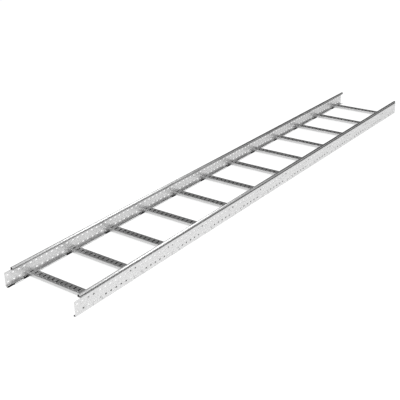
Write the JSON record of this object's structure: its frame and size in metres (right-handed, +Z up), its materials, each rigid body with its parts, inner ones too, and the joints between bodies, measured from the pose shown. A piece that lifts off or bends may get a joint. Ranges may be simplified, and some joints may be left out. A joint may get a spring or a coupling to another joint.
{
  "type": "cable ladder section",
  "caption": "Straight section of galvanised steel cable ladder: two perforated channel side rails joined by slotted rungs.",
  "frame": {"origin": "on the floor, midway along and midway across the ladder", "axes": "+X along the ladder, away from the coupling end; +Y to the left rail; +Z up, out of the open top"},
  "size_m": [3, 0.4024, 0.08],
  "materials": {
    "rail_steel": "pre-galvanised sheet, satin, with faint spangle",
    "rung_steel": "pre-galvanised sheet, satin, a little darker than the rails"
  },
  "bodies": {
    "root": {"side_rail_left": "rail_steel", "side_rail_right": "rail_steel", "rung_01": "rung_steel", "rung_02": "rung_steel", "rung_03": "rung_steel", "rung_04": "rung_steel", "rung_05": "rung_steel", "rung_06": "rung_steel", "rung_07": "rung_steel", "rung_08": "rung_steel", "rung_09": "rung_steel", "rung_10": "rung_steel", "rung_11": "rung_steel", "rung_12": "rung_steel"}
  },
  "joints": []
}
